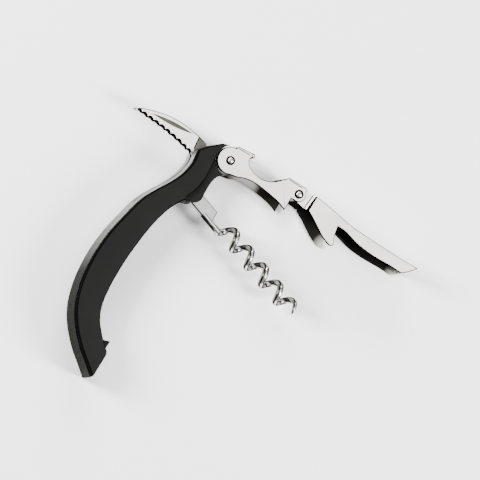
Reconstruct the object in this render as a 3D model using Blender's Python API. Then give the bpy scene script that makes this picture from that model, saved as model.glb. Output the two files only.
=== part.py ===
"""Double-hinged lever corkscrew, lying flat on its rear scale.

Lengths in the tables below are millimetres measured from the main rivet, in the
plane of the handle; height is measured from the middle of the thickness.
"""
import math

import bmesh
import bpy
from mathutils import Vector

MM = 0.001
SHIFT = Vector((-7.36, 35.82, 8.1))      # main rivet to the middle of the resting footprint

# joint centres
MAIN = (0.0, 0.0)
LINK = (31.0, -14.0)
WORM_PIVOT = (-15.1, -12.5)
KNIFE_PIVOT = (-11.5, 0.8)

# half thicknesses of the stack
WALL_IN, WALL_OUT = 4.7, 5.5
WASHER_IN, WASHER_OUT = 5.55, 6.25
SCALE_IN, SCALE_RECESS, SCALE_OUT = 5.6, 6.2, 8.1
LEVER_IN, LEVER_OUT = 6.3, 7.15
NECK_IN, NECK_OUT = 5.3, 6.2
ARM_IN, ARM_OUT = 7.25, 8.1
HEAD_IN, HEAD_OUT = 7.2, 8.0
SPACER_END = 4.6
PIN_END = 5.45
SHEET = 0.85

# round sizes
FRAME_LUG_R = 5.9
SCALE_LUG_R = 6.5
LEVER_LUG_R = 6.0
SHAFT_R, SHAFT_HOLE_R, HEAD_R = 1.2, 1.28, 2.0
PIN_R, PIN_HOLE_R, SPACER_R = 1.0, 1.08, 2.3
WASHER_R = 3.2
NECK_LUG_R, BUSH_R = 2.9, 2.5
CHAMFER = 0.2
SIDE_PLAY = 0.1
DOME = [(1.1, 0.12), (1.75, 0.4)]       # radius, and depth below the top of the head

# handle
SCALE_ROUND = 0.9
SPINE_PROUD = 0.4
REAR_SETBACK = 0.5
INNER_SETBACK = 0.3
HANDLE_TOP = [(-0.4, 6.6), (-3.6, 7.3), (-8.2, 6.5), (-11.2, 5.6), (-14.2, 4.6)]
HANDLE_OUTER = [(-14.9, 3.0), (-16.9, -1.2), (-21.0, -5.7), (-26.5, -9.4), (-33.5, -13.1),
                (-39.8, -17.1), (-47.0, -24.0), (-54.5, -32.1), (-61.0, -41.3), (-66.4, -52.1),
                (-69.2, -62.3), (-69.2, -71.4), (-67.3, -80.5), (-64.4, -88.3), (-63.1, -92.0)]
HANDLE_TAIL = [(-62.7, -93.6), (-61.4, -92.9), (-56.0, -84.5), (-55.7, -83.0)]
HANDLE_INNER = [(-56.5, -80.7), (-58.0, -75.1), (-58.7, -69.3), (-57.7, -62.9), (-54.4, -55.4),
                (-48.5, -45.5), (-42.0, -36.5), (-35.0, -28.0), (-27.6, -21.2), (-20.6, -17.0)]
FINGER_BUMP = [(-18.2, -17.8), (-15.6, -18.3), (-13.0, -17.1), (-11.0, -13.6), (-8.6, -9.8),
               (-6.0, -7.3), (-3.6, -6.4)]
CREASE = [(-6.2, 2.5), (-7.2, 0.5), (-8.9, -3.3), (-11.5, -7.8), (-15.0, -12.1), (-20.3, -16.3)]
MOUTH_DEPTH = 4.0
HOLLOW_TOP = [(9.0, -9.0), (9.0, 10.0), (-12.6, 10.0)]
HOLLOW_TAIL = [(-62.9, -90.2), (-61.2, -90.9), (-53.5, -87.0)]
HOLLOW_MOUTH = [(-20.0, -24.0), (-8.0, -20.0)]
LEDGE_FRONT = [(-20.5, -24.0), (0.0, -24.0), (4.0, -4.0), (-3.0, 2.0)]
SLOT_HALF, SLOT_REACH = 1.2, 38.4
SLOT_BACK = (-12.0, 8.0)
SLOT_FRONT = [(-28.0, -16.0), (-14.0, -8.0)]
CATCH = [(-66.0, -81.6), (-61.5, -79.8), (-57.4, -77.5), (-53.4, -78.5), (-55.7, -81.8),
         (-57.6, -84.5), (-62.8, -89.2)]
SCALE_PINS = {"scale_pin_upper": (-48.0, -31.4), "scale_pin_middle": (-63.6, -62.0),
              "scale_pin_tail": (-62.4, -85.4)}
SCALE_PIN_END, SCALE_PIN_HOLE_START, SCALE_PIN_HOLE_END = 6.9, 5.0, 7.1

# first lever
FIRST_LOWER = [(2.7, -7.1), (6.0, -7.6), (9.1, -8.6), (12.2, -10.3), (15.8, -12.9),
               (19.5, -15.8), (21.6, -17.7), (23.2, -19.5), (24.4, -21.0), (27.4, -16.0),
               (28.4, -16.3)]
FIRST_WEB_END = [(34.9, -12.8), (35.1, -12.2), (34.0, -10.9), (33.3, -10.9), (32.9, -10.4),
                 (27.1, -7.0)]
LIFTER_ARC = [(24.0, -7.7), (20.4, -8.6), (16.8, -8.5), (13.6, -7.4), (11.0, -5.3),
              (9.3, -3.1), (8.5, -0.7), (8.9, 0.8)]
LIP_CENTRE, LIP_R = (10.4, 2.1), 1.0
EAR_R = 3.4
FIRST_WEB_START = [(3.9, 6.2), (3.2, 5.6)]
FIRST_HOLLOW = [(-9.0, -30.1), (40.0, -29.4), (40.0, -9.9), (33.9, -10.0), (32.7, -11.5),
                (27.0, -8.0), (24.0, -6.6), (11.5, 0.6), (9.0, 2.3), (3.6, 5.3), (3.1, 8.0),
                (-9.0, 7.9)]

# second lever
SECOND_UPPER = [(38.9, -14.8), (45.3, -19.6), (51.4, -24.7), (55.9, -28.1), (61.4, -31.6),
                (68.5, -35.9), (75.4, -40.0), (84.6, -45.1)]
SECOND_TIP = [(84.5, -45.6), (79.9, -47.0), (77.0, -47.4)]
SECOND_LOWER = [(72.3, -44.5), (65.1, -40.7), (60.0, -37.4), (56.7, -34.8), (54.0, -32.1),
                (51.4, -29.7), (48.4, -27.8)]
SECOND_TOOTH = [(46.8, -32.0), (46.5, -35.3), (45.7, -36.0), (44.2, -35.7), (41.3, -32.3),
                (39.2, -28.6), (37.1, -24.6), (34.9, -21.0)]
RAMP_NEAR = [(38.0, -14.2), (33.6, -20.0)]
RAMP_FAR = [(38.9, -14.8), (34.4, -20.9)]
RAMP_LAP, RAMP_INSET = 0.35, 0.3
SECOND_HOLLOW_HEAD = [(37.0, -13.0)]
SECOND_HOLLOW_TIP = [(80.0, -45.3), (80.0, -60.0), (30.0, -60.0), (30.0, -20.0)]

# worm
WORM_ANGLE = math.radians(-48.6)
TAB_R, TAB_HALF, TAB_LENGTH = 3.3, 1.1, 14.7
TAB_UPPER, TAB_LOWER, TAB_HEEL = -2.1, 4.1, 4.0
TAB_STEP = [(15.2, 0.2), (15.8, 1.6), (16.5, 2.5), (17.5, 2.3)]
SHANK_START = 11.0
WIRE_R, COIL_R, PITCH = 1.45, 3.1, 9.9
COIL_START, COIL_END, TIP_LENGTH = 21.0, 69.1, 5.0
COIL_STEPS, WIRE_SIDES = 22, 12

# knife
BLADE_HALF = 0.8
BLADE_BACK = [(-8.9, 7.5), (-11.7, 10.2), (-16.4, 14.0), (-21.1, 17.0), (-26.1, 19.4),
              (-32.0, 21.2), (-38.2, 22.3), (-41.6, 22.2)]
BLADE_TEETH = [(-40.3, 21.2), (-38.3, 20.2), (-35.8, 18.4), (-33.1, 16.7), (-30.5, 14.9),
               (-27.8, 13.0), (-25.4, 11.1), (-22.8, 9.0), (-20.3, 6.8), (-18.2, 4.8),
               (-16.2, 3.2)]
TOOTH_DEPTH = 0.5
BLADE_HUB_R = 3.3

# colour, metallic and roughness of each surface
PLASTIC_LOOK = ((0.018, 0.018, 0.017), 0.0, 0.42)
FRAME_LOOK = ((0.55, 0.55, 0.53), 1.0, 0.32)
LEVER_LOOK = ((0.78, 0.77, 0.74), 1.0, 0.2)
WORM_LOOK = ((0.72, 0.72, 0.7), 1.0, 0.15)
BLADE_LOOK = ((0.8, 0.78, 0.74), 1.0, 0.22)
RIVET_LOOK = ((0.66, 0.65, 0.63), 1.0, 0.25)
PIN_LOOK = ((0.5, 0.5, 0.49), 1.0, 0.4)

ROUND_SIDES = 32
THROUGH = 9.0                           # half height of a cutter that passes right through


def clear_scene():
    for item in list(bpy.data.objects):
        bpy.data.objects.remove(item, do_unlink=True)


def material(name, look):
    """look is (colour, metallic, roughness); each object gets a material of its own."""
    colour, metallic, roughness = look
    made = bpy.data.materials.new(name)
    made.use_nodes = True
    shader = made.node_tree.nodes["Principled BSDF"]
    shader.inputs["Base Color"].default_value = (*colour, 1.0)
    shader.inputs["Metallic"].default_value = metallic
    shader.inputs["Roughness"].default_value = roughness
    return made


def make_object(name, points, faces, origin=MAIN):
    centre = Vector((origin[0], origin[1], 0.0))
    mesh = bpy.data.meshes.new(name)
    mesh.from_pydata([(Vector(p) - centre) * MM for p in points], [], faces)
    work = bmesh.new()
    work.from_mesh(mesh)
    bmesh.ops.recalc_face_normals(work, faces=work.faces)
    work.to_mesh(mesh)
    work.free()
    made = bpy.data.objects.new(name, mesh)
    made.location = (centre + SHIFT) * MM
    bpy.context.scene.collection.objects.link(made)
    return made


def stack(name, rings, origin=MAIN):
    """Closed body through rings of equal length, capped at both ends."""
    count = len(rings[0])
    points = [p for ring in rings for p in ring]
    faces = [list(reversed(range(count)))]
    for level in range(len(rings) - 1):
        low, high = level * count, (level + 1) * count
        for i in range(count):
            j = (i + 1) % count
            faces.append((low + i, low + j, high + j, high + i))
    top = (len(rings) - 1) * count
    faces.append([top + i for i in range(count)])
    return make_object(name, points, faces, origin)


def prism(name, outline, z_low, z_high, origin=MAIN):
    rings = [[(x, y, z) for x, y in outline] for z in (z_low, z_high)]
    return stack(name, rings, origin)


def arc(centre, radius, start, end, steps):
    """Points along an arc, angles in degrees."""
    points = []
    for i in range(steps + 1):
        angle = math.radians(start + (end - start) * i / steps)
        points.append((centre[0] + radius * math.cos(angle), centre[1] + radius * math.sin(angle)))
    return points


def circle(centre, radius, sides=ROUND_SIDES):
    return arc(centre, radius, 0.0, 360.0, sides)[:-1]


def smooth(points, steps=3):
    """Curve through the points (Catmull-Rom), open at both ends."""
    padded = [points[0]] + list(points) + [points[-1]]
    curve = []
    for i in range(1, len(padded) - 2):
        a, b, c, d = (Vector(p) for p in padded[i - 1:i + 3])
        for k in range(steps):
            t = k / steps
            spot = 0.5 * (2 * b + (c - a) * t + (2 * a - 5 * b + 4 * c - d) * t * t
                          + (3 * b - a - 3 * c + d) * t ** 3)
            curve.append((spot.x, spot.y))
    curve.append(tuple(points[-1]))
    return curve


def offset(points, distance, closed=False):
    """Each point moved to the left of the travel direction."""
    count = len(points)
    moved = []
    for i in range(count):
        before = Vector(points[i - 1] if closed or i > 0 else points[i])
        after = Vector(points[(i + 1) % count] if closed or i < count - 1 else points[i])
        here = Vector(points[i])
        first = (here - before).normalized() if (here - before).length > 0 else None
        second = (after - here).normalized() if (after - here).length > 0 else None
        first = first or second
        second = second or first
        middle = (first + second).normalized()
        stretch = 1.0 / max(0.5, middle.dot(first))
        moved.append((here.x - middle.y * distance * stretch, here.y + middle.x * distance * stretch))
    return moved


def boolean(target, tool, operation='DIFFERENCE'):
    bpy.context.view_layer.update()
    step = target.modifiers.new("shape", 'BOOLEAN')
    step.solver = 'EXACT'
    step.operation = operation
    step.object = tool
    result = target.evaluated_get(bpy.context.evaluated_depsgraph_get())
    mesh = bpy.data.meshes.new_from_object(result)
    old = target.data
    target.modifiers.clear()
    target.data = mesh
    mesh.name = target.name
    bpy.data.meshes.remove(old)
    bpy.data.objects.remove(tool)


def drill(target, centre, radius, z_low=-THROUGH, z_high=THROUGH):
    boolean(target, prism("drill", circle(centre, radius), z_low, z_high))


def lathe(name, profile, centre):
    """Closed round body; the profile runs from axis to axis as (radius, height)."""
    bottom, top = profile[0], profile[-1]
    rings = [[(x, y, z) for x, y in circle(centre, r)] for r, z in profile[1:-1]]
    count = ROUND_SIDES
    points = [p for ring in rings for p in ring]
    points += [(centre[0], centre[1], bottom[1]), (centre[0], centre[1], top[1])]
    low_tip, high_tip = len(points) - 2, len(points) - 1
    last = (len(rings) - 1) * count
    faces = []
    for i in range(count):
        j = (i + 1) % count
        faces.append((low_tip, j, i))
        faces.append((high_tip, last + i, last + j))
        for level in range(len(rings) - 1):
            low, high = level * count, (level + 1) * count
            faces.append((low + i, low + j, high + j, high + i))
    return make_object(name, points, faces, centre)


def tube(name, centre, inner, outer, z_low, z_high):
    """Round sleeve built as one closed band."""
    rings = []
    for radius, z in ((inner, z_low), (outer, z_low), (outer, z_high), (inner, z_high)):
        rings.append([(x, y, z) for x, y in circle(centre, radius)])
    count = ROUND_SIDES
    points = [p for ring in rings for p in ring]
    faces = []
    for level in range(4):
        low, high = level * count, ((level + 1) % 4) * count
        for i in range(count):
            j = (i + 1) % count
            faces.append((low + i, low + j, high + j, high + i))
    return make_object(name, points, faces, centre)


def finish(made, look, soft_angle=30.0):
    made.data.materials.clear()
    made.data.materials.append(material(made.name + "_surface", look))
    made.data.polygons.foreach_set("use_smooth", [True] * len(made.data.polygons))
    made.data.set_sharp_from_angle(angle=math.radians(soft_angle))
    made.data.update()
    return made


def handle_frame():
    spine = offset(smooth(HANDLE_OUTER), -SPINE_PROUD)
    inner = offset(smooth(HANDLE_INNER), INNER_SETBACK)
    bump = offset(smooth(FINGER_BUMP), INNER_SETBACK)
    top = [(x, y - INNER_SETBACK) for x, y in HANDLE_TOP[2:]]
    tail = offset(HANDLE_TAIL, -SPINE_PROUD)[:3]
    lug = arc(MAIN, FRAME_LUG_R, -115.0, 105.0, 28)
    body = prism("handle_frame", lug + top + spine + tail + inner + bump[:-1], -WALL_OUT, WALL_OUT)
    lining = offset(smooth(HANDLE_OUTER), SHEET - SPINE_PROUD)
    mouth = offset(smooth(HANDLE_INNER), -MOUTH_DEPTH)
    hollow = HOLLOW_TOP + lining[:-3] + HOLLOW_TAIL + mouth[:-2] + HOLLOW_MOUTH
    boolean(body, prism("hollow", hollow, -WALL_IN, WALL_IN))
    reach = arc(KNIFE_PIVOT, SLOT_REACH, 160.0, 210.5, 12)
    slot = [SLOT_BACK] + reach + SLOT_FRONT
    boolean(body, prism("slot", slot, -SLOT_HALF, SLOT_HALF))
    drill(body, MAIN, SHAFT_HOLE_R)
    for centre in [WORM_PIVOT, KNIFE_PIVOT, *SCALE_PINS.values()]:
        drill(body, centre, PIN_HOLE_R)
    return finish(body, FRAME_LOOK)


def handle_scale(name, side):
    """side is +1 for the front scale and -1 for the rear scale."""
    spine = smooth(HANDLE_OUTER)
    if side < 0:
        spine = offset(spine, REAR_SETBACK)
    cut = arc(MAIN, SCALE_LUG_R, 243.0, 93.0, 20)
    rim = HANDLE_TOP[2:] + spine + HANDLE_TAIL + smooth(HANDLE_INNER)[:-1] + smooth(FINGER_BUMP)[:-2]
    outline = HANDLE_TOP[:2] + rim + [FINGER_BUMP[-1]] + cut
    shares = [0.0, 0.5] + [1.0] * len(rim) + [0.0] * (len(cut) + 1)
    rings = [[(x, y, side * SCALE_IN) for x, y in outline]]
    for degrees in (0.0, 30.0, 60.0, 90.0):
        angle = math.radians(degrees)
        inset = offset(outline, SCALE_ROUND * (1.0 - math.cos(angle)), closed=True)
        height = side * (SCALE_OUT - SCALE_ROUND * (1.0 - math.sin(angle)))
        rings.append([(a[0] + (b[0] - a[0]) * share, a[1] + (b[1] - a[1]) * share, height)
                      for a, b, share in zip(outline, inset, shares)])
    body = stack(name, rings)
    low, high = sorted((side * SCALE_RECESS, side * THROUGH))
    boolean(body, prism("ledge", smooth(CREASE) + LEDGE_FRONT, low, high))
    low, high = sorted((side * SCALE_PIN_HOLE_START, side * SCALE_PIN_HOLE_END))
    for centre in SCALE_PINS.values():
        drill(body, centre, PIN_HOLE_R, low, high)
    return finish(body, PLASTIC_LOOK)


def rivet(name, centre):
    dome = [(0.0, HEAD_OUT)] + [(radius, HEAD_OUT - drop) for radius, drop in DOME]
    upper = dome + [(HEAD_R, HEAD_IN), (SHAFT_R, HEAD_IN)]
    lower = [(radius, -height) for radius, height in upper]
    return finish(lathe(name, lower + list(reversed(upper)), centre), RIVET_LOOK)


def pin(name, centre, end):
    slim, full = PIN_R - CHAMFER, end - CHAMFER
    profile = [(0.0, -end), (slim, -end), (PIN_R, -full), (PIN_R, full), (slim, end), (0.0, end)]
    return finish(lathe(name, profile, centre), PIN_LOOK)


def first_lever():
    lug = arc(MAIN, LEVER_LUG_R, 62.0, 265.0, 26)
    ear = arc(LINK, EAR_R, -115.0, 15.0, 12)
    lip = arc(LIP_CENTRE, LIP_R, 225.0, 425.0, 10)
    outline = (lug + FIRST_LOWER + ear + FIRST_WEB_END + smooth(LIFTER_ARC) + lip
               + FIRST_WEB_START)
    body = prism("lever_first", outline, -LEVER_OUT, LEVER_OUT)
    boolean(body, prism("hollow", FIRST_HOLLOW, -LEVER_IN, LEVER_IN))
    drill(body, MAIN, SHAFT_HOLE_R)
    drill(body, LINK, SHAFT_HOLE_R)
    return finish(body, LEVER_LOOK)


def slab(name, edge_a, edge_b, levels_a, levels_b):
    """Bent sheet between two edges lying at different heights."""
    points = [(*p, z) for z in levels_a for p in edge_a] + [(*p, z) for z in levels_b for p in edge_b]
    faces = [(0, 1, 3, 2), (4, 5, 7, 6), (0, 1, 5, 4), (2, 3, 7, 6), (0, 2, 6, 4), (1, 3, 7, 5)]
    return make_object(name, points, faces, LINK)


def ramp_edge(corners, shift):
    """Corners drawn in from the sheet's sides, and moved along the lever by the shift."""
    upper, lower = Vector(corners[0]), Vector(corners[1])
    across = (lower - upper).normalized()
    along = Vector((-across.y, across.x))
    ends = (upper + across * RAMP_INSET + along * shift, lower - across * RAMP_INSET + along * shift)
    return [tuple(end) for end in ends]


def second_lever():
    outline = smooth(SECOND_UPPER) + SECOND_TIP + smooth(SECOND_LOWER, 2) + SECOND_TOOTH
    outline = list(reversed(outline))
    body = prism("lever_second", outline, -ARM_OUT, ARM_OUT, LINK)
    roof = offset(smooth(SECOND_UPPER), -SHEET)
    hollow = SECOND_HOLLOW_HEAD + roof[:-1] + SECOND_HOLLOW_TIP
    boolean(body, prism("hollow", hollow, -ARM_IN, ARM_IN))
    neck = ([RAMP_NEAR[0], (LINK[0] + NECK_LUG_R, LINK[1] + 0.2)]
            + arc(LINK, NECK_LUG_R, 10.0, 235.0, 22) + [RAMP_NEAR[1]])
    near, far = ramp_edge(RAMP_NEAR, -RAMP_LAP), ramp_edge(RAMP_FAR, RAMP_LAP)
    for side in (-1, 1):
        levels_near = (side * NECK_IN, side * NECK_OUT)
        levels_far = (side * ARM_IN, side * ARM_OUT)
        ramp = slab("ramp", near, far, levels_near, levels_far)
        plate = prism("neck", neck, min(levels_near), max(levels_near), LINK)
        boolean(plate, ramp, 'UNION')
        boolean(body, plate, 'UNION')
    drill(body, LINK, SHAFT_HOLE_R)
    return finish(body, LEVER_LOOK)


def worm_frame():
    along = Vector((math.cos(WORM_ANGLE), math.sin(WORM_ANGLE), 0.0))
    across = Vector((along.y, -along.x, 0.0))
    return Vector((*WORM_PIVOT, 0.0)), along, across


def worm_path():
    """Centre line and thickness of the wire, shank first, then the right-handed coil."""
    start, along, across = worm_frame()
    spots = [(start + along * t + across * COIL_R, 1.0) for t in (SHANK_START, 14.0, 17.0)]
    turns = (COIL_END - COIL_START) / PITCH
    steps = round(turns * COIL_STEPS)
    for i in range(steps + 1):
        travel = COIL_START + (COIL_END - COIL_START) * i / steps
        angle = 2.0 * math.pi * turns * i / steps
        radial = across * math.cos(angle) + along.cross(across) * math.sin(angle)
        left = COIL_END - travel
        thin = min(1.0, 0.12 + 0.88 * math.sqrt(left / TIP_LENGTH))
        spots.append((start + along * travel + radial * COIL_R, thin))
    return spots


def wire(name, spots):
    rings = []
    for i, (spot, thin) in enumerate(spots):
        ahead = spots[min(i + 1, len(spots) - 1)][0]
        behind = spots[max(i - 1, 0)][0]
        heading = (ahead - behind).normalized()
        side = heading.cross(Vector((0.0, 0.0, 1.0))).normalized()
        rise = side.cross(heading)
        ring = []
        for k in range(WIRE_SIDES):
            angle = 2.0 * math.pi * (k + 0.5) / WIRE_SIDES
            reach = side * math.cos(angle) + rise * math.sin(angle)
            ring.append(tuple(spot + reach * WIRE_R * thin))
        rings.append(ring)
    return stack(name, rings, WORM_PIVOT)


def worm():
    start, along, across = worm_frame()

    def spot(travel, sideways):
        here = start + along * travel + across * sideways
        return here.x, here.y

    heading = math.degrees(WORM_ANGLE)
    hub = arc(WORM_PIVOT, TAB_R, heading + 50.0, heading + 270.0, 20)
    upper = [(TAB_HEEL, TAB_UPPER), (TAB_LENGTH, TAB_UPPER)]
    lower = [(TAB_STEP[-1][0], TAB_LOWER), (TAB_HEEL, TAB_LOWER)]
    outline = hub + [spot(*place) for place in reversed(upper + TAB_STEP + lower)]
    body = prism("worm", outline, -TAB_HALF, TAB_HALF, WORM_PIVOT)
    boolean(body, wire("wire", worm_path()), 'UNION')
    drill(body, WORM_PIVOT, PIN_HOLE_R)
    return finish(body, WORM_LOOK, 40.0)


def toothed(points):
    """Edge of shallow scallops meeting in points."""
    edge = []
    for first, second in zip(points, points[1:]):
        edge.append(first)
        a, b = Vector(first), Vector(second)
        inward = Vector((-(b - a).y, (b - a).x)).normalized()
        for t in (0.25, 0.5, 0.75):
            spot = a.lerp(b, t) + inward * 4.0 * t * (1.0 - t) * TOOTH_DEPTH
            edge.append((spot.x, spot.y))
    edge.append(points[-1])
    return edge


def knife():
    hub = arc(KNIFE_PIVOT, BLADE_HUB_R, 190.0, 375.0, 18)
    outline = hub + smooth(BLADE_BACK, 2) + toothed(BLADE_TEETH)
    body = prism("knife_blade", outline, -BLADE_HALF, BLADE_HALF, KNIFE_PIVOT)
    drill(body, KNIFE_PIVOT, PIN_HOLE_R)
    return finish(body, BLADE_LOOK)


def build():
    clear_scene()
    handle_frame()
    handle_scale("scale_front", 1)
    handle_scale("scale_rear", -1)
    first_lever()
    second_lever()
    worm()
    knife()
    rivet("main_rivet", MAIN)
    rivet("link_rivet", LINK)
    for name, side in (("front", 1), ("rear", -1)):
        low, high = sorted((side * WASHER_IN, side * WASHER_OUT))
        washer = tube("lever_washer_" + name, MAIN, SHAFT_HOLE_R, WASHER_R, low, high)
        finish(washer, RIVET_LOOK)
        low, high = sorted((side * (TAB_HALF + SIDE_PLAY), side * SPACER_END))
        spacer = tube("worm_spacer_" + name, WORM_PIVOT, PIN_HOLE_R, SPACER_R, low, high)
        finish(spacer, PIN_LOOK)
        low, high = sorted((side * (BLADE_HALF + SIDE_PLAY), side * SPACER_END))
        spacer = tube("knife_spacer_" + name, KNIFE_PIVOT, PIN_HOLE_R, SPACER_R, low, high)
        finish(spacer, PIN_LOOK)
    bush_end = NECK_IN - SIDE_PLAY
    finish(tube("link_bush", LINK, SHAFT_HOLE_R, BUSH_R, -bush_end, bush_end), PIN_LOOK)
    pin("worm_pin", WORM_PIVOT, PIN_END)
    pin("knife_pin", KNIFE_PIVOT, PIN_END)
    for name, centre in SCALE_PINS.items():
        pin(name, centre, SCALE_PIN_END)
    catch = prism("tail_catch", CATCH, -SPACER_END, SPACER_END)
    drill(catch, SCALE_PINS["scale_pin_tail"], PIN_HOLE_R)
    finish(catch, PLASTIC_LOOK)


build()
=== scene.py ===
"""Looks of the double-hinged lever corkscrew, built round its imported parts.

Lengths in the tables are millimetres measured from the main rivet, in the plane of
the handle; height is measured from the middle of the thickness. Tables in other units
say so.
"""

import math

import bmesh
import bpy
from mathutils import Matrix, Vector


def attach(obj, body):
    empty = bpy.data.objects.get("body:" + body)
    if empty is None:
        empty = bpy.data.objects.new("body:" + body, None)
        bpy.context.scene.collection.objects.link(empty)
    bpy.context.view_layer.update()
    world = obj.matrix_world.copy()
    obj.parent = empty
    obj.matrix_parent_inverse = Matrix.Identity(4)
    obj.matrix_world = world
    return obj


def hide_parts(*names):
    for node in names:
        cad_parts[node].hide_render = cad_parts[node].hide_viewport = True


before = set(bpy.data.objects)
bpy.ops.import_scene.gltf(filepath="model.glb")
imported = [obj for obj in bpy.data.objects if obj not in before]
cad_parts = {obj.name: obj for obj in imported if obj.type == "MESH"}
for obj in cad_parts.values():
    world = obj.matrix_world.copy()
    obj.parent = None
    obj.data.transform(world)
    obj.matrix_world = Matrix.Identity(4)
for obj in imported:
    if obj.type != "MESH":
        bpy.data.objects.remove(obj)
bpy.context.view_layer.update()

MM = 0.001
SHIFT = Vector((-7.36, 35.82, 8.1))      # main rivet to the middle of the resting footprint

# joint centres
MAIN = (0.0, 0.0)
LINK = (31.0, -14.0)
WORM_PIVOT = (-15.1, -12.5)
KNIFE_PIVOT = (-11.5, 0.8)

# half thicknesses of the stack
WALL_IN, WALL_OUT = 4.7, 5.5
SCALE_IN, SCALE_RECESS, SCALE_OUT = 5.6, 6.2, 8.1
LEVER_IN, LEVER_OUT = 6.3, 7.15
NECK_IN, NECK_OUT = 5.3, 6.2
ARM_IN, ARM_OUT = 7.25, 8.1
HEAD_IN, HEAD_OUT = 7.2, 8.0
SHEET = 0.85

# round sizes
FRAME_LUG_R = 5.9
SCALE_LUG_R = 6.5
LEVER_LUG_R = 6.0
SHAFT_R, SHAFT_HOLE_R, HEAD_R = 1.2, 1.28, 2.0
PIN_HOLE_R = 1.08
NECK_LUG_R = 2.9
ROUND_SIDES = 64

# arcs of the outlines: first and last angle in degrees, and the number of steps
FRAME_LUG = (-115.0, 105.0, 60)
SCALE_CUT = (243.0, 93.0, 40)
LEVER_LUG = (62.0, 265.0, 60)
LEVER_EAR = (-115.0, 15.0, 30)
LIP_ARC = (225.0, 425.0, 24)
NECK_LUG = (10.0, 235.0, 48)
SLOT_ARC = (160.0, 210.5, 24)
BLADE_HUB = (190.0, 375.0, 36)
TAB_HUB = (50.0, 270.0, 40)              # from the worm's own direction

# handle
SCALE_ROUND = 0.9
SPINE_PROUD = 0.4
REAR_SETBACK = 0.5
INNER_SETBACK = 0.3
HANDLE_TOP = [(-0.4, 6.6), (-3.6, 7.3), (-8.2, 6.5), (-11.2, 5.6), (-14.2, 4.6)]
HANDLE_OUTER = [(-14.9, 3.0), (-16.9, -1.2), (-21.0, -5.7), (-26.5, -9.4), (-33.5, -13.1),
                (-39.8, -17.1), (-47.0, -24.0), (-54.5, -32.1), (-61.0, -41.3), (-66.4, -52.1),
                (-69.2, -62.3), (-69.2, -71.4), (-67.3, -80.5), (-64.4, -88.3), (-63.1, -92.0)]
HANDLE_TAIL = [(-62.7, -93.6), (-61.4, -92.9), (-56.0, -84.5), (-55.7, -83.0)]
HANDLE_INNER = [(-56.5, -80.7), (-58.0, -75.1), (-58.7, -69.3), (-57.7, -62.9), (-54.4, -55.4),
                (-48.5, -45.5), (-42.0, -36.5), (-35.0, -28.0), (-27.6, -21.2), (-20.6, -17.0)]
FINGER_BUMP = [(-18.2, -17.8), (-15.6, -18.3), (-13.0, -17.1), (-11.0, -13.6), (-8.6, -9.8),
               (-6.0, -7.3), (-3.6, -6.4)]
CREASE = [(-6.2, 2.5), (-7.2, 0.5), (-8.9, -3.3), (-11.5, -7.8), (-15.0, -12.1), (-20.3, -16.3)]
MOUTH_DEPTH = 4.0
HOLLOW_TOP = [(9.0, -9.0), (9.0, 10.0), (-12.6, 10.0)]
HOLLOW_TAIL = [(-62.9, -90.2), (-61.2, -90.9), (-53.5, -87.0)]
HOLLOW_MOUTH = [(-20.0, -24.0), (-8.0, -20.0)]
LEDGE_FRONT = [(-20.5, -24.0), (0.0, -24.0), (4.0, -4.0), (-3.0, 2.0)]
SLOT_HALF, SLOT_REACH = 1.2, 38.4
SLOT_BACK = (-12.0, 8.0)
SLOT_FRONT = [(-28.0, -16.0), (-14.0, -8.0)]
SCALE_PINS = {"scale_pin_upper": (-48.0, -31.4), "scale_pin_middle": (-63.6, -62.0),
              "scale_pin_tail": (-62.4, -85.4)}
LINING_TRIM, MOUTH_TRIM, BUMP_TRIM = 8, 4, 4     # steps left off the ends of the curves

# first lever
FIRST_LOWER = [(2.7, -7.1), (6.0, -7.6), (9.1, -8.6), (12.2, -10.3), (15.8, -12.9),
               (19.5, -15.8), (21.6, -17.7), (23.2, -19.5), (24.4, -21.0), (27.4, -16.0),
               (28.4, -16.3)]
FIRST_WEB_END = [(34.9, -12.8), (35.1, -12.2), (34.0, -10.9), (33.3, -10.9), (32.9, -10.4),
                 (27.1, -7.0)]
LIFTER_ARC = [(24.0, -7.7), (20.4, -8.6), (16.8, -8.5), (13.6, -7.4), (11.0, -5.3),
              (9.3, -3.1), (8.5, -0.7), (8.9, 0.8)]
LIP_CENTRE, LIP_R = (10.4, 2.1), 1.0
EAR_R = 3.4
FIRST_WEB_START = [(3.9, 6.2), (3.2, 5.6)]
FIRST_HOLLOW = [(-9.0, -30.1), (40.0, -29.4), (40.0, -9.9), (33.9, -10.0), (32.7, -11.5),
                (27.0, -8.0), (24.0, -6.6), (11.5, 0.6), (9.0, 2.3), (3.6, 5.3), (3.1, 8.0),
                (-9.0, 7.9)]

# second lever
SECOND_UPPER = [(38.9, -14.8), (45.3, -19.6), (51.4, -24.7), (55.9, -28.1), (61.4, -31.6),
                (68.5, -35.9), (75.4, -40.0), (84.6, -45.1)]
SECOND_TIP = [(84.5, -45.6), (79.9, -47.0), (77.0, -47.4)]
SECOND_LOWER = [(72.3, -44.5), (65.1, -40.7), (60.0, -37.4), (56.7, -34.8), (54.0, -32.1),
                (51.4, -29.7), (48.4, -27.8)]
SECOND_TOOTH = [(46.8, -32.0), (46.5, -35.3), (45.7, -36.0), (44.2, -35.7), (41.3, -32.3),
                (39.2, -28.6), (37.1, -24.6), (34.9, -21.0)]
RAMP_NEAR = [(38.0, -14.2), (33.6, -20.0)]
RAMP_FAR = [(38.9, -14.8), (34.4, -20.9)]
RAMP_LAP, RAMP_INSET = 0.35, 0.3
SECOND_HOLLOW_HEAD = [(37.0, -13.0)]
SECOND_HOLLOW_TIP = [(80.0, -45.3), (80.0, -60.0), (30.0, -60.0), (30.0, -20.0)]

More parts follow.
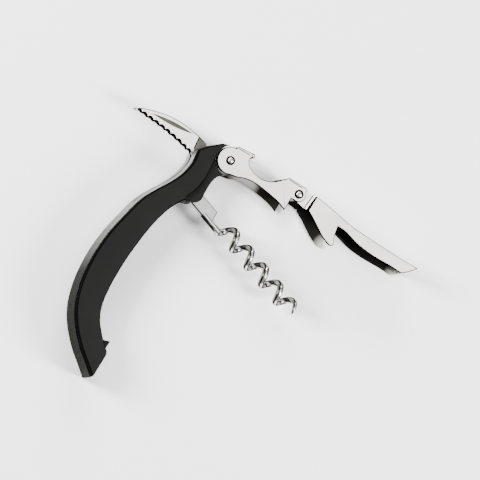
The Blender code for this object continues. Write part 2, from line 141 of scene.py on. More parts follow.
# worm
WORM_ANGLE = math.radians(-48.6)
TAB_R, TAB_HALF, TAB_LENGTH = 3.3, 1.1, 14.7
TAB_UPPER, TAB_LOWER, TAB_HEEL = -2.1, 4.1, 4.0
TAB_STEP = [(15.2, 0.2), (15.8, 1.6), (16.5, 2.5), (17.5, 2.3)]
SHANK_STOPS = (11.0, 13.0, 15.0, 17.0, 19.0)
WIRE_R, COIL_R, PITCH = 1.45, 3.1, 9.9
COIL_START, COIL_END, TIP_LENGTH = 21.0, 69.1, 5.0
COIL_STEPS, WIRE_SIDES = 44, 24

# knife
BLADE_HALF = 0.8
BLADE_BACK = [(-8.9, 7.5), (-11.7, 10.2), (-16.4, 14.0), (-21.1, 17.0), (-26.1, 19.4),
              (-32.0, 21.2), (-38.2, 22.3), (-41.6, 22.2)]
BLADE_TEETH = [(-40.3, 21.2), (-38.3, 20.2), (-35.8, 18.4), (-33.1, 16.7), (-30.5, 14.9),
               (-27.8, 13.0), (-25.4, 11.1), (-22.8, 9.0), (-20.3, 6.8), (-18.2, 4.8),
               (-16.2, 3.2)]
TOOTH_DEPTH, TOOTH_STEPS = 0.5, 10
BLADE_HUB_R = 3.3
BLADE_CLEAR = 2.0                       # half height of a cutter that clears the blade
NICK_ENDS = [(-33.6, 20.3), (-14.4, 11.3)]
NICK_HALF, NICK_FLOOR, NICK_STEPS = 0.95, 0.35, 12
RICASSO = [(-11.9, 11.3), (-14.7, 5.5), (-14.0, 2.0), (-4.0, 2.0), (-4.0, 11.0)]
RICASSO_LINE = [(-11.9, 11.3), (-14.7, 5.5), (-14.3, 5.3), (-11.3, 11.2)]
GRIND_WIDTH, GRIND_SCALLOP, GRIND_DEPTH = 0.75, 0.9, 0.1
# the back carries a painted shade line
BACK_START, BACK_CLEAR = 3, 0.5         # first curve step of the dark back, and its overhang

# rims, marks and other small shapes
SHEET_RIM, BLADE_RIM = 0.42, 0.4
RIM_ANGLES = (90.0, 60.0, 30.0, 0.0)
# painted shade line along the grip plates' crease
CREASE_WIDTH, CREASE_BEHIND, CREASE_DEPTH = 0.45, 0.3, 0.3
# painted shade ring round the cap lifter's lip
ROLL_DEPTH, ROLL_SHARE, CORE_SHARE = 0.15, 0.9, 0.5
# painted shade lines along the bends of the first lever's web
WEB_SHADE_LINES = [[(32.6, -10.5), (27.1, -7.2)], [(9.3, 3.1), (4.1, 5.9)]]
WEB_SHADE_WIDTH, MARK_DEPTH = 1.0, 0.06
# the crank's ramp is painted: shade, then highlight, then shade
RAMP_SHARES = (0.0, 0.25, 0.6, 1.0)     # ends of the crank's dark, bright and dark strips
# inset from the rivet head's radius, and height above the plate
COLLAR = [(0.08, 0.0), (0.0, 0.08), (0.0, 0.28), (0.1, 0.36), (0.22, 0.3), (0.35, 0.1)]
CROWN_R, CROWN_BASE, CROWN_RISE = 1.3, 0.1, 0.7
# the rivet head is painted with shade beyond this radius
SHADE_RING_R = 1.35                         # the head is dark beyond this
THROUGH = 9.0                           # half height of a cutter that passes right through

# shading: angles in degrees, roundings in millimetres
ROUND_ANGLE, SHEET_ANGLE = 35.0, 14.0
FRAME_EDGE, SCALE_EDGE, EDGE_SEGMENTS = 0.22, 0.36, 3
FLAT_NORMAL = 0.99                      # faces that lean more than this belong to a rim

# bare metals: light and dark colour, lowest and highest roughness, turn of the grain, its depth
STEELS = {
    "channel": ((0.6, 0.6, 0.58), (0.5, 0.5, 0.48), 0.24, 0.34, 50.0, 0.25),
    "lever": ((0.84, 0.82, 0.78), (0.7, 0.68, 0.64), 0.12, 0.24, -30.0, 0.15),
    "coil": ((0.85, 0.85, 0.82), (0.75, 0.75, 0.72), 0.2, 0.3, -49.0, 0.1),
    "tab": ((0.5, 0.5, 0.48), (0.36, 0.36, 0.34), 0.3, 0.42, -49.0, 0.4),
    "blade": ((0.9, 0.87, 0.83), (0.82, 0.79, 0.75), 0.14, 0.24, -30.0, 0.15),
    # painted shade in the recess of the nail nick
    "nick": ((0.12, 0.12, 0.1), (0.07, 0.07, 0.055), 0.35, 0.5, -30.0, 0.3),
    # painted shade: near-black steel for the rims, edge lines and rivet grooves
    "dark": ((0.0018, 0.0017, 0.0015), (0.001, 0.001, 0.0009), 0.35, 0.5, -30.0, 0.2),
    # painted shade on the inside faces of the levers
    "inner": ((0.03, 0.028, 0.022), (0.015, 0.014, 0.011), 0.3, 0.45, -30.0, 0.3),
    # painted shade along the bends of the first lever's web
    "band": ((0.24, 0.23, 0.2), (0.18, 0.17, 0.15), 0.3, 0.42, -30.0, 0.2),
    # painted highlight in the middle of the crank's ramp
    "step": ((0.95, 0.94, 0.92), (0.9, 0.89, 0.87), 0.45, 0.6, -30.0, 0.1),
    "heel": ((0.16, 0.155, 0.14), (0.1, 0.098, 0.09), 0.3, 0.42, 40.0, 0.3),
    "rivet": ((0.7, 0.69, 0.66), (0.6, 0.59, 0.56), 0.24, 0.34, 0.0, 0.12),
    "pin": ((0.3, 0.3, 0.29), (0.2, 0.2, 0.19), 0.3, 0.45, 20.0, 0.3),
}
# share of the light that the metal still reflects at grazing angles
EDGE_TINTS = {"dark": 0.05, "inner": 0.15, "channel": 0.35, "coil": 0.3}
# painted shade on the handle's channel towards its tail
CHANNEL_SHADE_FADE, CHANNEL_SHADE = (-0.012, 0.022), (0.055, 0.057, 0.052)    # metres, and colour
# colour of the painted light patches inside the levers
LIGHT_PATCH_COLOUR = (0.5, 0.48, 0.44)
# painted light patches inside the levers: place and reach, and then the height in metres and the
# bright share of the reach
LIGHT_PATCH_SPOTS = [(10.5, -7.6, 8.0), (49.0, -37.5, 8.5), (80.0, -47.5, 6.0)]
SPOT_HEIGHT, SPOT_CORE = 0.0018, 0.55
# painted reflection and shade streaks of the coil, from the side of the wire that faces away from
# this direction
COIL_LIGHT_SIDE = (0.9, -0.4, 0.1)
COIL_LIGHT_BANDS = [(0.0, (0.2, 0.19, 0.17)), (0.1, (0.4, 0.39, 0.36)), (0.18, (0.03, 0.028, 0.022)),
              (0.4, (0.012, 0.012, 0.01)), (0.47, (0.7, 0.7, 0.67)), (0.66, (0.85, 0.84, 0.82)),
              (0.74, (0.05, 0.048, 0.04)), (0.84, (0.06, 0.058, 0.05)), (0.92, (0.5, 0.49, 0.46)),
              (1.0, (0.2, 0.19, 0.17))]

# plastics: light and dark colour, lowest and highest roughness, reflection
BLACK = ((0.0045, 0.0045, 0.004), (0.003, 0.003, 0.003), 0.5, 0.62, 0.09)
# painted shade on the rims, bevels and crease of the grip plates
BLACK_SHADED_RIM = ((0.0009, 0.0009, 0.0009), (0.0006, 0.0006, 0.0006), 0.7, 0.8, 0.01)

# studio, in metres and watts
FLOOR_SIZE, FLOOR_DROP = 6.0, 0.0002
PAPER = ((0.9, 0.9, 0.9), (0.86, 0.86, 0.86))
LAMPS = [("overhead", (0.29, 0.05, 0.86), (0.5, 0.45), 2.2),
         ("left", (-0.9, 0.35, 0.6), (0.3, 0.5), 42.0),
         ("right", (0.9, -0.5, 0.65), (0.3, 0.5), 42.0),
         ("back", (0.1, 1.0, 0.5), (0.6, 0.25), 20.0)]
WORLD_STRENGTH = 0.3
CAMERA_AIM = (-0.00311, 0.00168, 0.01525)
CAMERA_REACH, CAMERA_RANGE = 5.0, 20.0
FRAME_WIDTH = 0.2064
LEAN_LEFT, LEAN_DOWN = math.radians(18.0), math.radians(3.1)
SENSOR = 36.0                           # millimetres


def make_object(name, points, faces):
    """Mesh object from points in millimetres, with its faces turned outwards."""
    mesh = bpy.data.meshes.new(name)
    mesh.from_pydata([(Vector(p) + SHIFT) * MM for p in points], [], faces)
    work = bmesh.new()
    work.from_mesh(mesh)
    bmesh.ops.recalc_face_normals(work, faces=work.faces)
    work.to_mesh(mesh)
    work.free()
    made = bpy.data.objects.new(name, mesh)
    bpy.context.scene.collection.objects.link(made)
    return made


def stack(name, rings):
    """Closed body through rings of equal length, capped at both ends."""
    count = len(rings[0])
    points = [p for ring in rings for p in ring]
    faces = [list(reversed(range(count)))]
    for level in range(len(rings) - 1):
        low, high = level * count, (level + 1) * count
        for i in range(count):
            j = (i + 1) % count
            faces.append((low + i, low + j, high + j, high + i))
    top = (len(rings) - 1) * count
    faces.append([top + i for i in range(count)])
    return make_object(name, points, faces)


def prism(name, outline, z_low, z_high, surface):
    """Outline carried straight up between two heights."""
    made = stack(name, [[(x, y, z) for x, y in outline] for z in (z_low, z_high)])
    made.data.materials.append(surface)
    return made


def sheet_body(name, outline, half, rim, surface, rim_shade_surface):
    """Solid outline with rounded rims at both faces; the rims have their own surface, which paints
    shade on them.
    """
    turns = zip(outline, outline[1:] + outline[:1])
    inward = 1.0 if sum(a[0] * b[1] - b[0] * a[1] for a, b in turns) > 0.0 else -1.0
    rings = []
    for side, angles in ((-1, RIM_ANGLES), (1, RIM_ANGLES[::-1])):
        for angle in angles:
            lean = math.radians(angle)
            drawn = offset(outline, inward * rim * (1.0 - math.cos(lean)), closed=True)
            height = side * (half - rim * (1.0 - math.sin(lean)))
            rings.append([(x, y, height) for x, y in drawn])
    made = stack(name, rings)
    made.data.materials.append(surface)
    made.data.materials.append(rim_shade_surface)
    for face in made.data.polygons:
        height = abs(face.center.z / MM - SHIFT.z)
        if abs(face.normal.z) < FLAT_NORMAL and height > half - rim:
            face.material_index = 1
    return made


def arc(centre, radius, start, end, steps):
    """Points along an arc, angles in degrees."""
    points = []
    for i in range(steps + 1):
        angle = math.radians(start + (end - start) * i / steps)
        points.append((centre[0] + radius * math.cos(angle), centre[1] + radius * math.sin(angle)))
    return points


def circle(centre, radius):
    return arc(centre, radius, 0.0, 360.0, ROUND_SIDES)[:-1]


def smooth(points, steps=8):
    """Curve through the points (Catmull-Rom), open at both ends."""
    padded = [points[0]] + list(points) + [points[-1]]
    curve = []
    for i in range(1, len(padded) - 2):
        a, b, c, d = (Vector(p) for p in padded[i - 1:i + 3])
        for k in range(steps):
            t = k / steps
            spot = 0.5 * (2 * b + (c - a) * t + (2 * a - 5 * b + 4 * c - d) * t * t
                          + (3 * b - a - 3 * c + d) * t ** 3)
            curve.append((spot.x, spot.y))
    curve.append(tuple(points[-1]))
    return curve


def offset(points, distance, closed=False):
    """Each point moved to the left of the travel direction."""
    count = len(points)
    moved = []
    for i in range(count):
        before = Vector(points[i - 1] if closed or i > 0 else points[i])
        after = Vector(points[(i + 1) % count] if closed or i < count - 1 else points[i])
        here = Vector(points[i])
        first = (here - before).normalized() if (here - before).length > 0 else None
        second = (after - here).normalized() if (after - here).length > 0 else None
        first = first or second
        second = second or first
        middle = (first + second).normalized()
        stretch = 1.0 / max(0.5, middle.dot(first))
        moved.append((here.x - middle.y * distance * stretch,
                      here.y + middle.x * distance * stretch))
    return moved


def boolean(target, tool, operation='DIFFERENCE'):
    """Cuts with the tool or joins it; new faces keep the tool's surface."""
    bpy.context.view_layer.update()
    step = target.modifiers.new("shape", 'BOOLEAN')
    step.solver = 'EXACT'
    step.operation = operation
    step.material_mode = 'TRANSFER'
    step.object = tool
    result = target.evaluated_get(bpy.context.evaluated_depsgraph_get())
    mesh = bpy.data.meshes.new_from_object(result)
    old = target.data
    target.modifiers.clear()
    target.data = mesh
    mesh.name = target.name
    bpy.data.meshes.remove(old)
    bpy.data.objects.remove(tool)


def drill(target, centre, radius):
    """Round hole right through, with the surface of the piece's first material."""
    tool = prism("drill", circle(centre, radius), -THROUGH, THROUGH, target.data.materials[0])
    boolean(target, tool)


def lathe(name, profile, centre):
    """Closed round body; the profile runs from axis to axis as (radius, height)."""
    rings = [[(x, y, z) for x, y in circle(centre, r)] for r, z in profile[1:-1]]
    count = ROUND_SIDES
    points = [p for ring in rings for p in ring]
    points += [(*centre, profile[0][1]), (*centre, profile[-1][1])]
    low_tip, high_tip = len(points) - 2, len(points) - 1
    last = (len(rings) - 1) * count
    faces = []
    for i in range(count):
        j = (i + 1) % count
        faces.append((low_tip, j, i))
        faces.append((high_tip, last + i, last + j))
        for level in range(len(rings) - 1):
            low, high = level * count, (level + 1) * count
            faces.append((low + i, low + j, high + j, high + i))
    return make_object(name, points, faces)


def rimmed(made, surface, steepest=0.6, tallest=1.3):
    """Gives the steep, short faces of a piece another surface, which paints shade along its edges.
    """
    made.data.materials.append(surface)
    index = len(made.data.materials) - 1
    for face in made.data.polygons:
        heights = [made.data.vertices[i].co.z for i in face.vertices]
        if abs(face.normal.z) < steepest and max(heights) - min(heights) < tallest * MM:
            face.material_index = index


def lined(made, surface):
    """Gives the faces of sheet metal that look towards the middle plane the inner surface, which
    paints shade on them.
    """
    slots = [slot.name for slot in made.data.materials]
    index = slots.index(surface.name)
    for face in made.data.polygons:
        height = face.center.z / MM - SHIFT.z
        if abs(height) > NECK_IN - 0.2 and face.normal.z * height < -0.3 * abs(height):
            face.material_index = index


def dress(made, body, nodes=(), soft_angle=ROUND_ANGLE, edge=0.0, edge_slot=-1):
    """Smooth shading and softened edges, then the ride with its moving body."""
    made.data.polygons.foreach_set("use_smooth", [True] * len(made.data.polygons))
    made.data.set_sharp_from_angle(angle=math.radians(soft_angle))
    if edge:
        soften = made.modifiers.new("edges", 'BEVEL')
        soften.width = edge * MM
        soften.segments = EDGE_SEGMENTS
        soften.limit_method = 'ANGLE'
        soften.angle_limit = math.radians(soft_angle)
        soften.harden_normals = True
        soften.material = edge_slot
    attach(made, body)
    if nodes:
        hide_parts(*nodes)


def wired(name):
    """New material with its nodes, its links and its shader."""
    made = bpy.data.materials.new(name)
    made.use_nodes = True
    return made, made.node_tree.nodes, made.node_tree.links, made.node_tree.nodes["Principled BSDF"]


def noise(nodes, links, scale, stretch, detail=4.0, turn=0.0):
    """Noise over the object's own space, stretched along one direction in the handle's plane."""
    place = nodes.new('ShaderNodeTexCoord')
    mapping = nodes.new('ShaderNodeMapping')
    mapping.inputs['Rotation'].default_value = (0.0, 0.0, math.radians(turn))
    mapping.inputs['Scale'].default_value = stretch
    links.new(place.outputs['Object'], mapping.inputs['Vector'])
    made = nodes.new('ShaderNodeTexNoise')
    made.inputs['Scale'].default_value = scale
    made.inputs['Detail'].default_value = detail
    links.new(mapping.outputs['Vector'], made.inputs['Vector'])
    return made.outputs['Fac']


def spread(nodes, links, source, low, high, from_low=0.3, from_high=0.7):
    """Maps a range of the source onto low to high, and clamps what is beyond it."""
    made = nodes.new('ShaderNodeMapRange')
    made.inputs['From Min'].default_value = from_low
    made.inputs['From Max'].default_value = from_high
    made.inputs['To Min'].default_value = low
    made.inputs['To Max'].default_value = high
    links.new(source, made.inputs['Value'])
    return made.outputs['Result']


def sum_of(nodes, links, first, second):
    made = nodes.new('ShaderNodeMath')
    made.operation = 'ADD'
    links.new(first, made.inputs[0])
    links.new(second, made.inputs[1])
    return made.outputs['Value']


def tinted(nodes, links, source, first, second):
    """First colour where the source is 0, second colour where it is 1."""
    made = nodes.new('ShaderNodeMix')
    made.data_type = 'RGBA'
    made.inputs['A'].default_value = (*first, 1.0)
    made.inputs['B'].default_value = (*second, 1.0)
    links.new(source, made.inputs['Factor'])
    return made.outputs['Result']


def raised(nodes, links, shader, sources):
    """Chain of bumps: each source is (height, strength, depth in metres)."""
    below = None
    for height, strength, depth in sources:
        made = nodes.new('ShaderNodeBump')
        made.inputs['Strength'].default_value = strength
        made.inputs['Distance'].default_value = depth
        links.new(height, made.inputs['Height'])
        if below:
            links.new(below, made.inputs['Normal'])
        below = made.outputs['Normal']
    links.new(below, shader.inputs['Normal'])


def steel(name, light, dark, rough_low, rough_high, grain_turn, grain):
    """Bare sheet or wire: brushed grain, handling smudges and fine scratches."""
    made, nodes, links, shader = wired(name)
    shader.inputs['Metallic'].default_value = 1.0
    brushed = noise(nodes, links, 900.0, (0.05, 1.6, 1.6), 6.0, grain_turn)
    smudge = noise(nodes, links, 55.0, (1.0, 1.0, 1.0), 5.0)
    scratch = noise(nodes, links, 260.0, (0.06, 2.6, 1.0), 8.0, grain_turn + 38.0)
    links.new(tinted(nodes, links, spread(nodes, links, smudge, 0.0, 1.0), light, dark),
              shader.inputs['Base Color'])
    base = spread(nodes, links, brushed, rough_low, rough_high)
    wear = spread(nodes, links, scratch, 0.0, 0.12, 0.58, 0.75)
    links.new(sum_of(nodes, links, base, wear), shader.inputs['Roughness'])
    raised(nodes, links, shader, [(brushed, grain, 0.00002), (scratch, grain * 0.6, 0.00003)])
    return made


def placed(nodes, links, spots):
    """1 near any of the spots (x, y, reach) on the tool, fading to 0 at their reach."""
    place = nodes.new('ShaderNodeTexCoord')
    total = None
    for x, y, reach in spots:
        gap = nodes.new('ShaderNodeVectorMath')
        gap.operation = 'DISTANCE'
        gap.inputs[1].default_value = ((x + SHIFT.x) * MM, (y + SHIFT.y) * MM, SPOT_HEIGHT)
        links.new(place.outputs['Object'], gap.inputs[0])
        near = spread(nodes, links, gap.outputs['Value'], 1.0, 0.0, reach * MM * SPOT_CORE,
                      reach * MM)
        total = sum_of(nodes, links, total, near) if total else near
    return total


def blended(made, share, colour):
    """Mixes another colour into a material's own, by a share from 0 to 1."""
    nodes, links = made.node_tree.nodes, made.node_tree.links
    shader = nodes["Principled BSDF"]
    mixed = nodes.new('ShaderNodeMix')
    mixed.data_type = 'RGBA'
    links.new(shader.inputs['Base Color'].links[0].from_socket, mixed.inputs['A'])
    mixed.inputs['B'].default_value = (*colour, 1.0)
    links.new(share, mixed.inputs['Factor'])
    links.new(mixed.outputs['Result'], shader.inputs['Base Color'])


def light_patches(made):
    """Painted light: brighter patches on the painted-shade inside of the levers."""
    blended(made, placed(made.node_tree.nodes, made.node_tree.links, LIGHT_PATCH_SPOTS), LIGHT_PATCH_COLOUR)


def shade_channel(made):
    """Painted shade: darkens the handle's channel towards its tail."""
    nodes, links = made.node_tree.nodes, made.node_tree.links
    source = nodes.new('ShaderNodeTexCoord')
    parts = nodes.new('ShaderNodeSeparateXYZ')
    links.new(source.outputs['Object'], parts.inputs['Vector'])
    blended(made, spread(nodes, links, parts.outputs['Y'], 1.0, 0.0, *CHANNEL_SHADE_FADE), CHANNEL_SHADE)


def banded(made):
    """Mirror-bright wire: painted reflection and shade streaks along it, by which side of the wire
    the surface is on.
    """
    nodes, links = made.node_tree.nodes, made.node_tree.links
    shader = nodes["Principled BSDF"]
    source = nodes.new('ShaderNodeTexCoord')
    lean = nodes.new('ShaderNodeVectorMath')
    lean.operation = 'DOT_PRODUCT'
    lean.inputs[1].default_value = COIL_LIGHT_SIDE
    links.new(source.outputs['Normal'], lean.inputs[0])
    around = spread(nodes, links, lean.outputs['Value'], 0.0, 1.0, -1.0, 1.0)
    wobble = noise(nodes, links, 160.0, (1.0, 1.0, 1.0), 2.0)
    shifted = sum_of(nodes, links, around, spread(nodes, links, wobble, -0.05, 0.05))
    bands = nodes.new('ShaderNodeValToRGB')
    for place, _ in COIL_LIGHT_BANDS[1:-1]:
        bands.color_ramp.elements.new(place)
    for stop, (place, colour) in zip(bands.color_ramp.elements, COIL_LIGHT_BANDS):
        stop.position = place
        stop.color = (*colour, 1.0)
    links.new(shifted, bands.inputs['Fac'])
    links.new(bands.outputs['Color'], shader.inputs['Base Color'])


def plastic(name, light, dark, rough_low, rough_high, reflection):
    """Moulded black plastic: fine pebbled skin, hand polish and scuffs."""
    made, nodes, links, shader = wired(name)
    shader.inputs['Specular IOR Level'].default_value = reflection
    skin = noise(nodes, links, 3200.0, (1.0, 1.0, 1.0), 3.0)
    polish = noise(nodes, links, 38.0, (1.0, 1.0, 1.0), 5.0)
    scuff = noise(nodes, links, 300.0, (0.05, 2.2, 1.0), 8.0, 52.0)
    links.new(tinted(nodes, links, spread(nodes, links, polish, 0.0, 1.0), light, dark),
              shader.inputs['Base Color'])
    base = spread(nodes, links, polish, rough_low, rough_high)
    wear = spread(nodes, links, scuff, 0.0, 0.15, 0.6, 0.8)
    links.new(sum_of(nodes, links, base, wear), shader.inputs['Roughness'])
    raised(nodes, links, shader, [(skin, 0.18, 0.00004), (scuff, 0.08, 0.00003)])
    return made


def handle_frame(surface, inner_surface):
    """Folded sheet channel between the grip plates, with the knife's slot in its spine."""
    spine = offset(smooth(HANDLE_OUTER), -SPINE_PROUD)
    inner = offset(smooth(HANDLE_INNER), INNER_SETBACK)
    bump = offset(smooth(FINGER_BUMP), INNER_SETBACK)
    top = [(x, y - INNER_SETBACK) for x, y in HANDLE_TOP[2:]]
    tail = offset(HANDLE_TAIL, -SPINE_PROUD)[:3]
    outline = arc(MAIN, FRAME_LUG_R, *FRAME_LUG) + top + spine + tail + inner + bump[:-1]
    made = prism("frame_channel", outline, -WALL_OUT, WALL_OUT, surface)
    lining = offset(smooth(HANDLE_OUTER), SHEET - SPINE_PROUD)
    mouth = offset(smooth(HANDLE_INNER), -MOUTH_DEPTH)
    hollow = (HOLLOW_TOP + lining[:-LINING_TRIM] + HOLLOW_TAIL + mouth[:-MOUTH_TRIM]
              + HOLLOW_MOUTH)
    boolean(made, prism("hollow", hollow, -WALL_IN, WALL_IN, inner_surface))
    slot = [SLOT_BACK] + arc(KNIFE_PIVOT, SLOT_REACH, *SLOT_ARC) + SLOT_FRONT
    boolean(made, prism("slot", slot, -SLOT_HALF, SLOT_HALF, inner_surface))
    drill(made, MAIN, SHAFT_HOLE_R)
    for centre in [WORM_PIVOT, KNIFE_PIVOT, *SCALE_PINS.values()]:
        drill(made, centre, PIN_HOLE_R)
    dress(made, "handle", ["handle_frame"], edge=FRAME_EDGE)


def handle_scale(name, node, side, surface, rim_shade_surface):
    """Grip plate with rounded edges; side is +1 for the front one and -1 for the rear one."""
    spine = smooth(HANDLE_OUTER)
    if side < 0:
        spine = offset(spine, REAR_SETBACK)
    cut = arc(MAIN, SCALE_LUG_R, *SCALE_CUT)
    rim = (HANDLE_TOP[2:] + spine + HANDLE_TAIL + smooth(HANDLE_INNER)[:-1]
           + smooth(FINGER_BUMP)[:-BUMP_TRIM])
    outline = HANDLE_TOP[:2] + rim + [FINGER_BUMP[-1]] + cut
    shares = [0.0, 0.5] + [1.0] * len(rim) + [0.0] * (len(cut) + 1)
    rings = [[(x, y, side * SCALE_IN) for x, y in outline]]
    for degrees in range(0, 91, 10):
        angle = math.radians(degrees)
        inset = offset(outline, SCALE_ROUND * (1.0 - math.cos(angle)), closed=True)
        height = side * (SCALE_OUT - SCALE_ROUND * (1.0 - math.sin(angle)))
        rings.append([(a[0] + (b[0] - a[0]) * share, a[1] + (b[1] - a[1]) * share, height)
                      for a, b, share in zip(outline, inset, shares)])
    made = stack(name, rings)
    made.data.materials.append(surface)
    low, high = sorted((side * SCALE_RECESS, side * THROUGH))
    boolean(made, prism("ledge", smooth(CREASE) + LEDGE_FRONT, low, high, surface))
    # painted shade line along the crease
    low, high = sorted((side * (SCALE_OUT - CREASE_DEPTH), side * THROUGH))
    line = (offset(smooth(CREASE), -CREASE_WIDTH)
            + list(reversed(offset(smooth(CREASE), CREASE_BEHIND))))
    boolean(made, prism("crease_line", line, low, high, rim_shade_surface))
    # painted shade on the rims, and through the bevel's slot on the softened edges
    rimmed(made, rim_shade_surface, steepest=0.95, tallest=9.0)
    dress(made, "handle", [node], edge=SCALE_EDGE, edge_slot=1)


def rivet(name, node, centre, body, surface, groove_shade_surface):
    """Domed head standing in a rolled collar, the same at both ends; shade is painted on the groove
    and the collar.
    """
    collar = [(SHAFT_R, HEAD_IN)] + [(HEAD_R - inset, HEAD_IN + rise) for inset, rise in COLLAR]
    crown = [(CROWN_R * math.cos(a), HEAD_IN + CROWN_BASE + CROWN_RISE * math.sin(a))
             for a in (math.radians(d) for d in range(0, 90, 9))]
    upper = collar + crown + [(0.0, HEAD_OUT)]
    profile = [(r, -z) for r, z in reversed(upper)] + upper
    made = lathe(name, profile, centre)
    made.data.materials.append(surface)
    made.data.materials.append(groove_shade_surface)
    # painted shade on the groove and the collar
    for face in made.data.polygons:
        spots = [made.data.vertices[i].co / MM - SHIFT for i in face.vertices]
        reach = max(math.hypot(spot.x - centre[0], spot.y - centre[1]) for spot in spots)
        if reach > SHADE_RING_R and abs(face.center.z / MM - SHIFT.z) > HEAD_IN:
            face.material_index = 1
    dress(made, body, [node])


def marked(made, line, inside, outside, half, surface):
    """Shallow strip of another surface along a line, on both faces of a piece."""
    strip = offset(line, inside) + list(reversed(offset(line, -outside)))
    for side in (-1, 1):
        low, high = sorted((side * (half - MARK_DEPTH), side * THROUGH))
        boolean(made, prism("mark", strip, low, high, surface))


def first_lever(surface, inner_surface, edge_shade_surface, band_surface):
    """Short lever: two plates joined by a web, with the cap lifter and the first foot."""
    lug = arc(MAIN, LEVER_LUG_R, *LEVER_LUG)
    ear = arc(LINK, EAR_R, *LEVER_EAR)
    lip = arc(LIP_CENTRE, LIP_R, *LIP_ARC)
    lower = smooth(FIRST_LOWER[:9], 5) + FIRST_LOWER[9:]
    outline = lug + lower + ear + FIRST_WEB_END + smooth(LIFTER_ARC) + lip + FIRST_WEB_START
    made = sheet_body("lever_one", outline, LEVER_OUT, SHEET_RIM, surface, edge_shade_surface)
    boolean(made, prism("hollow", FIRST_HOLLOW, -LEVER_IN, LEVER_IN, inner_surface))
    drill(made, MAIN, SHAFT_HOLE_R)
    drill(made, LINK, SHAFT_HOLE_R)
    # painted shade ring round the lip
    for side in (-1, 1):
        low, high = sorted((side * (LEVER_OUT - ROLL_DEPTH), side * THROUGH))
        roll = circle(LIP_CENTRE, LIP_R * ROLL_SHARE)
        boolean(made, prism("roll", roll, low, high, edge_shade_surface))
        low, high = sorted((side * (LEVER_OUT - ROLL_DEPTH * 2.0), side * LEVER_OUT))
        core = prism("core", circle(LIP_CENTRE, LIP_R * CORE_SHARE), low, high, surface)
        boolean(made, core, 'UNION')
    # painted shade lines along the web's bends
    for line in WEB_SHADE_LINES:
        marked(made, line, WEB_SHADE_WIDTH, -SHEET_RIM, LEVER_OUT, band_surface)
    # painted shade on the inside faces
    lined(made, inner_surface)
    # painted shade on the rims
    rimmed(made, edge_shade_surface)
    dress(made, "first_lever", ["lever_first"], SHEET_ANGLE)


def ramp_edge(corners, shift):
    """Corners drawn in from the sheet's sides, and moved along the lever by the shift."""
    upper, lower = Vector(corners[0]), Vector(corners[1])
    across = (lower - upper).normalized()
    along = Vector((-across.y, across.x))
    return [tuple(upper + across * RAMP_INSET + along * shift),
            tuple(lower - across * RAMP_INSET + along * shift)]


def slab(name, edges, levels, surfaces):
    """Bent sheet through edges at rising heights, each stretch with its own surface."""
    points = []
    for edge, (low, high) in zip(edges, levels):
        points += [(*p, z) for z in (low, high) for p in edge]
    faces = [(0, 1, 3, 2)]
    for i in range(len(surfaces)):
        a, b = i * 4, i * 4 + 4
        faces += [(a, a + 1, b + 1, b), (a + 2, a + 3, b + 3, b + 2), (a, a + 2, b + 2, b),
                  (a + 1, a + 3, b + 3, b + 1)]
    end = len(surfaces) * 4
    faces.append((end, end + 1, end + 3, end + 2))
    made = make_object(name, points, faces)
    for surface in surfaces:
        made.data.materials.append(surface)
    for number, face in enumerate(made.data.polygons):
        face.material_index = min(len(surfaces) - 1, max(0, (number - 1) // 4))
    return made


def second_lever(surface, inner_surface, edge_shade_surface, step_highlight_surface):
    """Long lever: a channel with the second foot, and a cranked neck of two narrower plates."""
    outline = (smooth(SECOND_UPPER) + SECOND_TIP + smooth(SECOND_LOWER, 5)
               + smooth(SECOND_TOOTH, 4))
    made = sheet_body("lever_two", outline, ARM_OUT, SHEET_RIM, surface, edge_shade_surface)
    roof = offset(smooth(SECOND_UPPER), -SHEET)
    hollow = SECOND_HOLLOW_HEAD + roof[:-1] + SECOND_HOLLOW_TIP
    boolean(made, prism("hollow", hollow, -ARM_IN, ARM_IN, inner_surface))
    neck = ([RAMP_NEAR[0], (LINK[0] + NECK_LUG_R, LINK[1] + 0.2)]
            + arc(LINK, NECK_LUG_R, *NECK_LUG) + [RAMP_NEAR[1]])
    near, far = ramp_edge(RAMP_NEAR, -RAMP_LAP), ramp_edge(RAMP_FAR, RAMP_LAP)
    for side in (-1, 1):
        levels_near = (side * NECK_IN, side * NECK_OUT)
        levels_far = (side * ARM_IN, side * ARM_OUT)
        edges, levels = [], []
        for share in RAMP_SHARES:
            edges.append([tuple(Vector(a).lerp(Vector(b), share)) for a, b in zip(near, far)])
            levels.append([a + (b - a) * share for a, b in zip(levels_near, levels_far)])
        # painted shade, painted highlight and painted shade across the ramp
        ramp = slab("ramp", edges, levels, (edge_shade_surface, step_highlight_surface, edge_shade_surface))
        plate = prism("neck", neck, min(levels_near), max(levels_near), surface)
        boolean(plate, ramp, 'UNION')
        boolean(made, plate, 'UNION')
    drill(made, LINK, SHAFT_HOLE_R)
    # painted shade on the inside faces
    lined(made, inner_surface)
    # painted shade on the rims
    rimmed(made, edge_shade_surface)
    dress(made, "second_lever", ["lever_second"], SHEET_ANGLE)


def worm_frame():
    """Pivot of the worm, its direction and the direction across it."""
    along = Vector((math.cos(WORM_ANGLE), math.sin(WORM_ANGLE), 0.0))
    across = Vector((along.y, -along.x, 0.0))
    return Vector((*WORM_PIVOT, 0.0)), along, across


def worm_path():
    """Centre line and thickness of the wire, shank first, then the right-handed coil."""
    start, along, across = worm_frame()
    spots = [(start + along * travel + across * COIL_R, 1.0) for travel in SHANK_STOPS]
    turns = (COIL_END - COIL_START) / PITCH
    steps = round(turns * COIL_STEPS)
    for i in range(steps + 1):
        travel = COIL_START + (COIL_END - COIL_START) * i / steps
        angle = 2.0 * math.pi * turns * i / steps
        radial = across * math.cos(angle) + along.cross(across) * math.sin(angle)
        thin = min(1.0, 0.1 + 0.9 * math.sqrt((COIL_END - travel) / TIP_LENGTH))
        spots.append((start + along * travel + radial * COIL_R, thin))
    return spots


